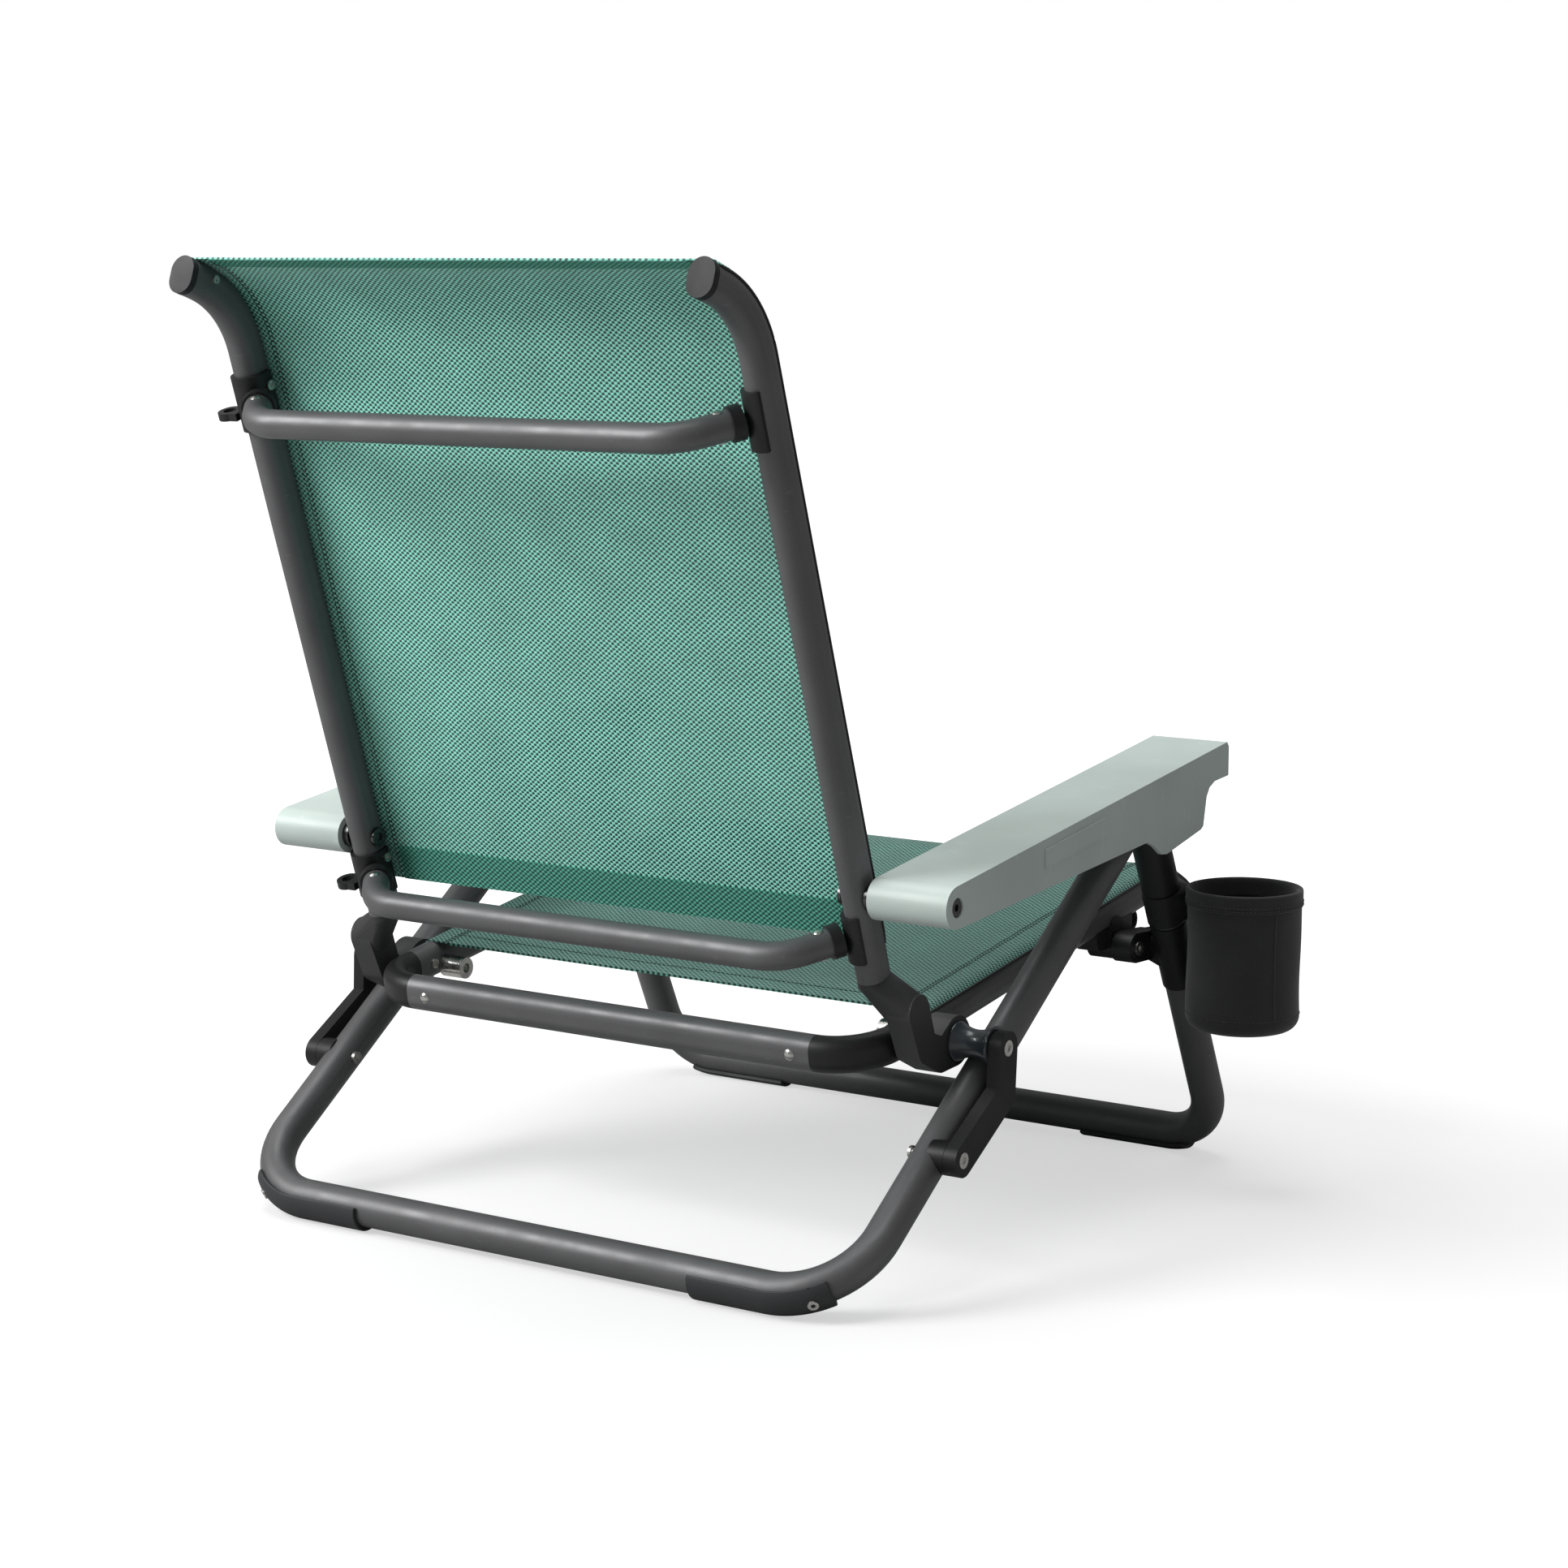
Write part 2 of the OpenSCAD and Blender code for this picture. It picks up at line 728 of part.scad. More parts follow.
module rear_foot_left() { placed() rear_foot(1); }

module rear_foot_right() { placed() rear_foot(-1); }

module front_foot(side) {
    on_side(side) color(plastic_black) front_leg_frame()
        foot_pad(front_leg_x - front_bend_r, front_bend_r, 159, front_pad_turn, 62, 20);
}

module front_foot_left() { placed() front_foot(1); }

module front_foot_right() { placed() front_foot(-1); }

// Saddles between the rear leg and the links
module link_bosses() {
    placed() both_sides() color(plastic_black) difference() {
        rod_x(link_pivot, 13, leg_x + 4, link_in - loose_gap);
        rear_leg_frame() translate([leg_x, 0, 0]) cylinder(h = 400, r = leg_r + 0.05);
        rod_x(link_pivot, bolt_r, leg_x, link_in + 1);
    }
}

module link_studs() {
    placed() both_sides() color(steel) {
        rod_x(link_pivot, bolt_r - fit_gap, leg_x - leg_r - 1, link_in - loose_gap);
        button_head(link_pivot, 5.2, 2.4, leg_x - leg_r - 2.45, -1);
    }
}

module rear_leg_plugs() {
    placed() both_sides() color(plastic_black) difference() {
        rear_leg_frame() translate([leg_x, 0, rear_leg_length]) {
            translate([0, 0, 0.1]) cylinder(h = 1.2, r = leg_r - 1);
            translate([0, 0, -16]) cylinder(h = 16.2, r = leg_r - leg_wall - 0.15);
        }
        rod_x(apex_pivot, bolt_r, leg_x - 20, leg_x + 20);
    }
}

module front_leg() {
    placed() color(frame_grey) front_leg_frame() leg_tube(front_leg_x, front_leg_length, front_bend_r);
}

// Cap on the front leg with two cheeks that straddle the top of the rear leg
cheek_gap = leg_r + 0.9;
cheek_t = 3.2;
cheek_in = leg_x - cheek_gap - cheek_t;
cheek_out = leg_x + cheek_gap + cheek_t;
sleeve_r = leg_r + 1.6;
knuckle_bottom = 257;

module front_knuckle(side) {
    block = leg_x + cheek_gap + 1;
    on_side(side) color(plastic_black) difference() {
        front_leg_frame() union() {
            translate([front_leg_x, 0, knuckle_bottom])
                cylinder(h = front_leg_length + 4 - knuckle_bottom, r = sleeve_r);
            side_slab(front_leg_x, block)
                polygon([[-8, 322], [14, 322], [14, 349], [-8, 349]]);
            for (inner = [cheek_in, leg_x + cheek_gap])
                side_slab(inner, inner + cheek_t) polygon([
                    [-6, 318], [10, 312], [34, 327], [43, 332], [46, 339], [42, 348],
                    [34, 351], [-6, 350]
                ]);
        }
        front_leg_frame() translate([front_leg_x, 0, 0])
            cylinder(h = front_leg_length + 0.1, r = leg_r + 0.1);
        rod_x(apex_pivot, bolt_r, cheek_in - 1, cheek_out + 1);
    }
}

module apex_pins() {
    placed() both_sides() color(steel) {
        rod_x(apex_pivot, bolt_r - fit_gap, cheek_in - 1, cheek_out + 1);
        button_head(apex_pivot, 6.5, 2.4, cheek_in - 2.5, -1);
        button_head(apex_pivot, 6.5, 2.4, cheek_out + 0.1, 1);
    }
}

module front_knuckle_left() { placed() front_knuckle(1); }

module front_knuckle_right() { placed() front_knuckle(-1); }

// Sleeve on the front leg with an arm that reaches back to the pin under the seat
module front_tee(side) {
    on_side(side) color(plastic_black) difference() {
        union() {
            front_leg_frame() translate([front_leg_x, 0, 164]) cylinder(h = 60, r = sleeve_r);
            side_slab(tee_in, tee_out) bar_outline(front_pivot, tee_corner, 12.5, 12);
            hull() {
                side_slab(tee_in + 4, tee_out) translate(tee_corner) circle(r = 12);
                front_leg_frame() translate([front_leg_x, 0, 184])
                    cylinder(h = 28, r = leg_r + 0.6);
            }
        }
        front_leg_frame() translate([front_leg_x, 0, 100])
            cylinder(h = 200, r = leg_r + 0.1);
        rod_x(front_pivot, bolt_r, tee_in - 1, tee_out + 1);
    }
}

module front_tee_left() { placed() front_tee(1); }

module front_tee_right() { placed() front_tee(-1); }

// Screw through the bend end of each foot pad; turn is measured round the tube
module foot_screws(half, bend_r, sweep, turn) {
    both_sides() translate([half, 0, bend_r]) rotate([0, -sweep, 0])
        translate([0, 0, -bend_r]) rotate([180 + turn, 0, 0])
            translate([0, 0, leg_r + pad_t - 1.6]) difference() {
                cylinder(h = 2.6, r = 4.2);
                translate([0, 0, 1.4]) cylinder(h = 2, r = 1.8);
            }
}

module foot_screws_rear() {
    placed() color(steel) rear_leg_frame()
        foot_screws(leg_x - rear_bend_r, rear_bend_r, 31, 2);
}

module foot_screws_front() {
    placed() color(steel) front_leg_frame()
        foot_screws(front_leg_x - front_bend_r, front_bend_r, 8, -20);
}

// ---------- cup holder, on the sitter's right ----------

cup_at = [-357, -502];
cup_base = 139;

module cup_pouch() {
    placed() color(plastic_black) translate([cup_at[0], cup_at[1], cup_base]) difference() {
        cylinder(h = cup_h, d = cup_d);
        translate([0, 0, 2.5]) cylinder(h = cup_h, d = cup_d - 5);
    }
}

module cup_rim() {
    placed() color(plastic_black)
        translate([cup_at[0], cup_at[1], cup_base + cup_h - 14])
            linear_extrude(14.6) ring(cup_d / 2 + 1, cup_d / 2 + 0.1);
}

module cup_clip() {
    placed() color(plastic_black) difference() {
        hull() {
            front_leg_frame() translate([-front_leg_x, 0, 227]) cylinder(h = 29, r = leg_r + 2.4);
            translate([-312, -509, 236]) cylinder(h = 12, r = 8);
        }
        front_leg_frame() translate([-front_leg_x, 0, 100])
            cylinder(h = 200, r = leg_r + 0.1);
        translate([cup_at[0], cup_at[1], cup_base]) cylinder(h = 200, d = cup_d + 4.2);
    }
}

// ---------- nodes ----------

stile_left();
stile_right();
stile_caps();
upper_crossbar();
lower_crossbar();
upper_bracket_left();
upper_bracket_right();
lower_bracket_left();
lower_bracket_right();
back_sling();
hook_left();
hook_right();
back_rivets();
back_screws();
armrest_left();
armrest_right();
armrest_bolt_left();
armrest_bolt_right();
armrest_bush_left();
armrest_bush_right();
seat_rail_left();
seat_rail_right();
seat_rear_bar();
seat_elbow_left();
seat_elbow_right();
seat_front_bar();
seat_sling();
rail_plugs();
seat_rivets();
front_mount_left();
front_mount_right();
front_pins();
hinge_bolt_left();
hinge_bolt_right();
spool_left();
spool_right();
back_bushes();
link_left();
link_right();
link_bolts();
rear_leg();
link_bosses();
link_studs();
rear_leg_plugs();
rear_foot_left();
rear_foot_right();
front_leg();
apex_pins();
front_knuckle_left();
front_knuckle_right();
front_tee_left();
front_tee_right();
front_foot_left();
front_foot_right();
foot_screws_rear();
foot_screws_front();
cup_clip();
cup_pouch();
cup_rim();
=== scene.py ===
"""Looks for the low folding beach chair: fabric, finishes, stitching, light and camera.

Lengths are metres in the row frame. The sitter faces -Y, +X is the sitter's left and the floor is z = 0.
"""

import json
import math

import bmesh
import bpy
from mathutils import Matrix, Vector


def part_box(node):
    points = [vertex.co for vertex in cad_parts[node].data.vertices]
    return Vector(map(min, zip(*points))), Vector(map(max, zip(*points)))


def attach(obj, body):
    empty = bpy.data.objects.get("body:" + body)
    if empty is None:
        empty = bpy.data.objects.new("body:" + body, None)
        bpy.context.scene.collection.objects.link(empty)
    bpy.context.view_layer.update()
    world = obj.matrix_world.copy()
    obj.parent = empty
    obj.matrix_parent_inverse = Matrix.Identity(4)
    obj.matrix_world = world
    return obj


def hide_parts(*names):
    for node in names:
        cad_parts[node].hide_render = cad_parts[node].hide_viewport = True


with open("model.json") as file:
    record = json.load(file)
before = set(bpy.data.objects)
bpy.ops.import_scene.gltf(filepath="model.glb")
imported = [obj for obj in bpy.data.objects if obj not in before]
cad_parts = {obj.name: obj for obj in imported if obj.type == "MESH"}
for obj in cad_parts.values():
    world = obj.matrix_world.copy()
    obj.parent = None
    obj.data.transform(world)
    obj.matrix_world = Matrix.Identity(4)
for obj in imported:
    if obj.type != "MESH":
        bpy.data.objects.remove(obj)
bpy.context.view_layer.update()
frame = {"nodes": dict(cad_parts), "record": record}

MM = 0.001
joint_at = {joint["name"]: Vector(joint["pos_m"]) for joint in frame["record"]["behaviour"]["joints"]}

# ---------- driving sizes, as in the CAD ----------

MIDDLE_X = joint_at["fold"].x
RAIL_X = 240 * MM
SECTION_R = 11 * MM
SECTION_CENTRE = 3.5 * MM
BACK_LEAN = math.radians(18.1)
SEAT_PITCH = math.radians(8.7)
BEND_R = 80 * MM
BEND_ANGLE = math.radians(53.1301)
STILE_RISE = 419 * MM
STILE_END = 12.5 * MM
SLING_BOTTOM = -44 * MM
SLING_GAP = 14.8 * MM
RAIL_REAR = -74 * MM
RAIL_FRONT = -438 * MM
ARMREST_PIVOT = joint_at["armrest_left_level"]
HINGE_PIVOT = joint_at["back_fold"]
# The rear corner line of the seat, from the hinge pivot
SEAT_REAR = HINGE_PIVOT + Vector((0, 77 * MM, -5.2 * MM))

# ---------- materials ----------


class Shader:
    """A node material under construction: object coordinates in, one Principled BSDF out."""

    def __init__(self, name, roughness, metallic=0.0, specular=0.5):
        self.material = bpy.data.materials.new(name)
        self.material.use_nodes = True
        self.tree = self.material.node_tree
        self.bsdf = self.tree.nodes["Principled BSDF"]
        self.bsdf.inputs["Roughness"].default_value = roughness
        self.bsdf.inputs["Metallic"].default_value = metallic
        self.bsdf.inputs["Specular IOR Level"].default_value = specular
        self.coords = self.tree.nodes.new("ShaderNodeTexCoord").outputs["Object"]

    def node(self, kind, inputs=None, **settings):
        made = self.tree.nodes.new(kind)
        for key, value in settings.items():
            setattr(made, key, value)
        for key, value in (inputs or {}).items():
            if isinstance(value, bpy.types.NodeSocket):
                self.tree.links.new(value, made.inputs[key])
            else:
                made.inputs[key].default_value = value
        return made

    def math(self, operation, first, second=0.0):
        return self.node("ShaderNodeMath", {0: first, 1: second}, operation=operation).outputs[0]

    def noise(self, scale, detail=2.0, stretch=(1, 1, 1)):
        """Noise from 0 to 1 with the given number of features to the metre."""
        mapped = self.node("ShaderNodeMapping", {"Vector": self.coords, "Scale": stretch}).outputs[0]
        inputs = {"Vector": mapped, "Scale": scale, "Detail": detail}
        return self.node("ShaderNodeTexNoise", inputs).outputs["Fac"]

    def ramp(self, fac, *stops):
        """Colour or value that follows fac through stops of (position, colour)."""
        made = self.node("ShaderNodeValToRGB", {"Fac": fac})
        elements = made.color_ramp.elements
        while len(elements) < len(stops):
            elements.new(0.5)
        for element, (position, colour) in zip(elements, stops):
            element.position = position
            element.color = (*colour, 1) if hasattr(colour, "__len__") else (colour, colour, colour, 1)
        return made.outputs["Color"]

    def mix(self, fac, first, second):
        made = self.node("ShaderNodeMix", data_type="RGBA")
        for socket, value in ((made.inputs[0], fac), (made.inputs[6], first), (made.inputs[7], second)):
            if isinstance(value, bpy.types.NodeSocket):
                self.tree.links.new(value, socket)
            else:
                socket.default_value = (*value, 1) if hasattr(value, "__len__") else value
        return made.outputs[2]

    def set(self, name, value):
        if isinstance(value, bpy.types.NodeSocket):
            self.tree.links.new(value, self.bsdf.inputs[name])
        else:
            self.bsdf.inputs[name].default_value = value

    def bump(self, height, distance, strength=1.0):
        """Adds a relief on top of any relief that the shader has already."""
        made = self.node("ShaderNodeBump", {"Height": height, "Distance": distance, "Strength": strength})
        before = self.bsdf.inputs["Normal"].links
        if before:
            self.tree.links.new(before[0].from_socket, made.inputs["Normal"])
        self.tree.links.new(made.outputs[0], self.bsdf.inputs["Normal"])


def shade_of(colour, factor):
    return tuple(channel * factor for channel in colour)


def powder_coat(name, colour):
    """Satin metallic powder coat: fine orange peel, faint mottling and small dull scuffs."""
    made = Shader(name, 0.46, metallic=0.4)
    mottle = made.ramp(made.noise(14), (0.3, shade_of(colour, 0.88)), (0.7, shade_of(colour, 1.1)))
    flake = made.ramp(made.noise(2600, 1), (0.55, 0.0), (0.75, 0.35))
    coat = made.mix(flake, mottle, shade_of(colour, 1.9))
    scuff = made.ramp(made.noise(60, 6, (1, 1, 3)), (0.68, 0.0), (0.72, 0.4))
    made.set("Base Color", made.mix(scuff, coat, shade_of(colour, 1.5)))
    made.set("Roughness", made.ramp(made.noise(35, 3), (0.3, 0.42), (0.7, 0.54)))
    made.bump(made.noise(750, 2), 0.06 * MM, 0.5)
    return made.material


def moulded_plastic(name, colour, roughness, grain=0.05, specular=0.5):
    """Injection-moulded plastic: spark-eroded grain, slight flow marks and rubbed patches."""
    made = Shader(name, roughness, specular=specular)
    flow = made.ramp(made.noise(9, 3), (0.3, shade_of(colour, 0.92)), (0.7, shade_of(colour, 1.06)))
    rub = made.ramp(made.noise(45, 5, (1, 2, 1)), (0.62, 0.0), (0.72, 0.25))
    made.set("Base Color", made.mix(rub, flow, shade_of(colour, 1.25)))
    made.set("Roughness", made.ramp(made.noise(30), (0.3, roughness * 0.9), (0.7, roughness * 1.12)))
    pits = made.node("ShaderNodeTexVoronoi", {"Vector": made.coords, "Scale": 1400}).outputs["Distance"]
    made.bump(pits, grain * MM, 0.5)
    made.bump(made.noise(1900, 1), grain * MM, 0.4)
    return made.material


def stainless(name, colour):
    """Turned stainless steel with fine rings and a few water spots."""
    made = Shader(name, 0.3, metallic=1.0)
    spots = made.ramp(made.noise(160, 2), (0.45, colour), (0.75, shade_of(colour, 0.8)))
    made.set("Base Color", spots)
    made.set("Roughness", made.ramp(made.noise(220), (0.3, 0.2), (0.7, 0.34)))
    made.bump(made.noise(900, 1, (8, 1, 1)), 0.03 * MM, 0.5)
    return made.material


def spool_rubber():
    made = Shader("spool_blue_rubber", 0.28)
    slate = made.ramp(made.noise(40, 3), (0.3, (0.028, 0.036, 0.043)), (0.7, (0.038, 0.048, 0.057)))
    made.set("Base Color", slate)
    made.set("Coat Weight", 0.3)
    made.bump(made.noise(500, 2), 0.04 * MM, 0.4)
    return made.material


WEAVE_UV = "weave"
SLING_PITCH = 3.3 * MM
POUCH_PITCH = 1.3 * MM
# Turns of the weave for each pitch, across the cloth and along it
TURNS_ACROSS = 0.62
TURNS_ALONG = 0.8
WEAVE_WANDER = 1.3 * MM


def weave_lattice(made, pitch):
    """Height of a staggered weave from the cloth's own millimetres: 1 on a crossing, -1 in a gap."""
    uv = made.node("ShaderNodeUVMap", uv_map=WEAVE_UV).outputs[0]
    drift = made.node("ShaderNodeTexNoise", {"Vector": uv, "Scale": 150.0, "Detail": 2.0}).outputs["Color"]
    middle = {0: drift, 1: (0.5, 0.5, 0.5)}
    centred = made.node("ShaderNodeVectorMath", middle, operation="SUBTRACT").outputs[0]
    scaled = {0: centred, "Scale": WEAVE_WANDER}
    wander = made.node("ShaderNodeVectorMath", scaled, operation="SCALE").outputs[0]
    placed = made.node("ShaderNodeVectorMath", {0: uv, 1: wander}, operation="ADD").outputs[0]
    axes = made.node("ShaderNodeSeparateXYZ", {0: placed})
    turn = 2 * math.pi / pitch
    across = made.math("COSINE", made.math("MULTIPLY", axes.outputs[0], turn * TURNS_ACROSS))
    along = made.math("COSINE", made.math("MULTIPLY", axes.outputs[1], turn * TURNS_ALONG))
    return made.math("MULTIPLY", across, along), uv


def sling_mesh(name, shade):
    """Woven vinyl-coated mesh, a little open to the light: mint yarn over dark teal gaps, and the dark teal
    in the gaps is painted shade. The shade factor darkens the whole cloth as painted shade.
    """
    made = Shader(name, 0.55)
    height, uv = weave_lattice(made, SLING_PITCH)
    level = made.math("ADD", made.math("MULTIPLY", height, 0.5), 0.5)
    # Colour by weave height: mint on the crossings and painted shade in the gaps between them.
    yarn_colour_and_gap_shade = made.ramp(
        level,
        (0.24, (0.001, 0.026, 0.022)),
        (0.40, shade_of((0.012, 0.150, 0.115), shade)),
        (0.50, shade_of((0.220, 0.700, 0.560), shade)),
        (1.00, shade_of((0.470, 0.980, 0.830), shade)),
    )
    patches = made.node("ShaderNodeTexNoise", {"Vector": uv, "Scale": 26.0, "Detail": 3.0}).outputs["Fac"]
    tone = made.ramp(patches, (0.3, 0.9), (0.7, 1.06))
    toned = made.node("ShaderNodeMix", {0: 1.0}, data_type="RGBA", blend_type="MULTIPLY")
    made.tree.links.new(yarn_colour_and_gap_shade, toned.inputs[6])
    made.tree.links.new(tone, toned.inputs[7])
    made.set("Base Color", toned.outputs[2])
    made.set("Sheen Weight", 0.15)
    made.set("Alpha", made.ramp(level, (0.10, 0.62), (0.34, 1.0)))
    made.bump(level, 0.5 * MM, 0.9)
    return made.material


def binding_mesh():
    """The same cloth where it is folded double along an edge: closed and a shade darker."""
    made = Shader("sling_mint_binding", 0.6)
    height, _ = weave_lattice(made, SLING_PITCH)
    level = made.math("ADD", made.math("MULTIPLY", height, 0.5), 0.5)
    # Colour by weave height, with painted shade in the gaps as in the sling cloth.
    made.set("Base Color", made.ramp(
        level, (0.16, (0.003, 0.040, 0.030)), (0.42, (0.030, 0.235, 0.170)), (1.0, (0.185, 0.600, 0.450))
    ))
    made.bump(level, 0.5 * MM, 0.9)
    return made.material


def thread(name, colour):
    made = Shader(name, 0.6)
    fibres = made.ramp(made.noise(1500, 1), (0.3, shade_of(colour, 0.7)), (0.7, shade_of(colour, 1.3)))
    made.set("Base Color", fibres)
    made.set("Sheen Weight", 0.2)
    made.bump(made.noise(2400, 1), 0.08 * MM, 0.6)
    return made.material


def pouch_cloth():
    """Near-black laminated stretch cloth: a very fine knit, soft sheen and faint creases."""
    made = Shader("cup_black_cloth", 0.72, specular=0.35)
    height, _ = weave_lattice(made, POUCH_PITCH)
    level = made.math("ADD", made.math("MULTIPLY", height, 0.5), 0.5)
    shades = ((0.1, (0.010, 0.010, 0.011)), (0.6, (0.024, 0.024, 0.026)), (1.0, (0.036, 0.036, 0.039)))
    knit = made.ramp(level, *shades)
    dust = made.ramp(made.noise(38, 4), (0.5, 0.0), (0.8, 0.35))
    made.set("Base Color", made.mix(dust, knit, (0.040, 0.040, 0.043)))
    made.set("Sheen Weight", 0.25)
    made.bump(level, 0.16 * MM, 0.6)
    made.bump(made.noise(70, 3), 0.5 * MM, 0.35)
    return made.material


def paper_floor():
    """Pale floor that is lit up for the camera only, more so further out, and lights nothing itself."""
    made = Shader("pale_floor", 0.85, specular=0.2)
    made.set("Base Color", made.ramp(made.noise(3, 2), (0.3, (0.41, 0.41, 0.41)), (0.7, (0.43, 0.43, 0.43))))
    distance = made.node("ShaderNodeVectorMath", {0: made.coords}, operation="LENGTH").outputs["Value"]
    away = made.ramp(made.math("MULTIPLY", distance, 0.25), (0.14, 0.0), (0.42, 1.0))
    made.set("Emission Color", made.mix(away, (0.58, 0.58, 0.58), (0.97, 0.97, 0.97)))
    made.set("Emission Strength", made.node("ShaderNodeLightPath").outputs["Is Camera Ray"])
    return made.material


GREY = (0.125, 0.125, 0.128)
FRAME_PAINT = powder_coat("powder_coat_grey", GREY)
BLACK = moulded_plastic("black_nylon", (0.014, 0.014, 0.015), 0.46, specular=0.36)
CAP_BLACK = moulded_plastic("tube_cap_black", (0.016, 0.016, 0.018), 0.55, specular=0.3)
LINK_BLACK = moulded_plastic("black_nylon_coarse", (0.010, 0.010, 0.011), 0.5, grain=0.09, specular=0.3)
FOOT_BLACK = moulded_plastic("foot_rubber", (0.030, 0.031, 0.033), 0.6, grain=0.12)
SAGE = moulded_plastic("sage_armrest", (0.50, 0.575, 0.545), 0.42, grain=0.02)
HOOK_BLACK = moulded_plastic("hook_nylon", (0.045, 0.045, 0.046), 0.5, specular=0.3)
STEEL = stainless("stainless_steel", (0.62, 0.61, 0.58))
DARK_STEEL = stainless("blackened_steel", (0.10, 0.10, 0.10))
SPOOL = spool_rubber()
MESH = sling_mesh("sling_mint_mesh", 1.0)
# The seat's copy of the sling cloth is darkened to 0.32 as painted shade; the cloth is the same as the
# back's.
SEAT_MESH_PAINTED_SHADE = sling_mesh("sling_mint_mesh_seat_painted_shade", 0.32)
BINDING = binding_mesh()
DARK_THREAD = thread("dark_green_thread", (0.004, 0.035, 0.027))
CUP_CLOTH = pouch_cloth()
CUP_THREAD = thread("black_thread", (0.030, 0.030, 0.032))

# ---------- mesh helpers ----------


def smooth_by_angle(mesh, degrees):
    """Smooth shading with a hard edge wherever two faces meet at more than the angle."""
    shaper = bmesh.new()
    shaper.from_mesh(mesh)
    for face in shaper.faces:
        face.smooth = True
    for edge in shaper.edges:
        sharp = len(edge.link_faces) != 2 or edge.calc_face_angle(0) > math.radians(degrees)
        edge.smooth = not sharp
    shaper.to_mesh(mesh)
    shaper.free()


def piece(name, verts, faces, material, body, uvs=None, angle=40):
    """A new mesh piece that rides on a body. uvs holds one cloth coordinate for each vertex."""
    mesh = bpy.data.meshes.new(name)
    mesh.from_pydata([tuple(v) for v in verts], [], faces)
    mesh.update()
    if uvs:
        layer = mesh.uv_layers.new(name=WEAVE_UV)
        for loop in mesh.loops:
            layer.data[loop.index].uv = uvs[loop.vertex_index]
    smooth_by_angle(mesh, angle)
    mesh.materials.append(material)
    made = bpy.data.objects.new(name, mesh)
    bpy.context.scene.collection.objects.link(made)
    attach(made, body)
    return made


def grid_faces(rows, columns, close_rows=False):
    """Faces of a grid of rows times columns of vertices; close_rows joins each row's ends."""
    span = columns if close_rows else columns - 1
    faces = []
    for row in range(rows - 1):
        near = row * columns
        far = near + columns
        for here in range(span):
            after = (here + 1) % columns
            faces.append((near + here, near + after, far + after, far + here))
    return faces


def thicken(made, thickness):
    """Gives a one-layer piece its thickness, half on each side."""
    modifier = made.modifiers.new("thickness", "SOLIDIFY")
    modifier.thickness = thickness
    modifier.offset = 0.0
    modifier.use_even_offset = True
    return made


def round_edges(made, width):
    """Rounds the edges of a piece where its faces meet at more than 38 degrees."""
    modifier = made.modifiers.new("edges", "BEVEL")
    modifier.width = width
    modifier.segments = 3
    modifier.limit_method = "ANGLE"
    modifier.angle_limit = math.radians(38)
    modifier.harden_normals = False


def tube_along(points, radius, sides):
    """Vertices and faces of a tube along points, with its ends drawn in to round them."""
    verts, faces = [], []
    count = len(points)
    for i, at in enumerate(points):
        before = points[max(i - 1, 0)]
        after = points[min(i + 1, count - 1)]
        forward = (after - before).normalized()
        helper = Vector((0, 0, 1)) if abs(forward.z) < 0.9 else Vector((1, 0, 0))
        side = forward.cross(helper).normalized()
        up = side.cross(forward)
        r = radius * (0.45 if i in (0, count - 1) else 1)
        for k in range(sides):
            turn = 2 * math.pi * k / sides
            verts.append(at + r * (math.cos(turn) * side + math.sin(turn) * up))
    faces += grid_faces(count, sides, close_rows=True)
    faces.append(tuple(range(sides))[::-1])
    faces.append(tuple(range((count - 1) * sides, count * sides)))
    return verts, faces


def stitches(name, rows, material, body, pitch=4.2 * MM, radius=0.42 * MM, fill=0.72):
    """Sewn rows: each row is a list of (point, outward) samples, and gets stitches at equal steps."""
    verts, faces = [], []
    for row in rows:
        lengths = [0.0]
        for (a, _), (b, _) in zip(row, row[1:]):
            lengths.append(lengths[-1] + (b - a).length)

        def at(distance):
            distance = min(max(distance, 0), lengths[-1])
            i = max(k for k in range(len(lengths) - 1) if lengths[k] <= distance)
            share = (distance - lengths[i]) / max(lengths[i + 1] - lengths[i], 1e-9)
            return row[i][0].lerp(row[i + 1][0], share), row[i][1].lerp(row[i + 1][1], share)

        for k in range(int(lengths[-1] / pitch)):
            start = k * pitch
            points = []
            for share, lift in ((0, -0.35), (0.18, 0.35), (0.5, 0.6), (0.82, 0.35), (1, -0.35)):
                centre, outward = at(start + share * fill * pitch)
                points.append(centre + outward * lift * radius)
            tube_verts, tube_faces = tube_along(points, radius, 6)
            faces += [tuple(index + len(verts) for index in face) for face in tube_faces]
            verts += tube_verts
    return piece(name, verts, faces, material, body)


# ---------- slings ----------


def in_frame(origin, tilt, x, y, z):
    """A point of a part's own frame, tilted about X, in the row frame."""
    return Vector((MIDDLE_X + x,
                   origin.y + y * math.cos(tilt) + z * math.sin(tilt),
                   origin.z - y * math.sin(tilt) + z * math.cos(tilt)))


def back_at(x, y, z):
    return in_frame(ARMREST_PIVOT, BACK_LEAN, x, y, z)


def seat_at(x, y, z):
    return in_frame(SEAT_REAR, SEAT_PITCH, x, y, z)


EDGE_TURN = math.radians(46)
EDGE_STEPS = 7
ARC_STEPS = 20
FLAT_STEP = 6 * MM
# Radius of the cloth where it wraps round a tube
WRAP_R = SECTION_R + (SLING_GAP - SECTION_R - SECTION_CENTRE)


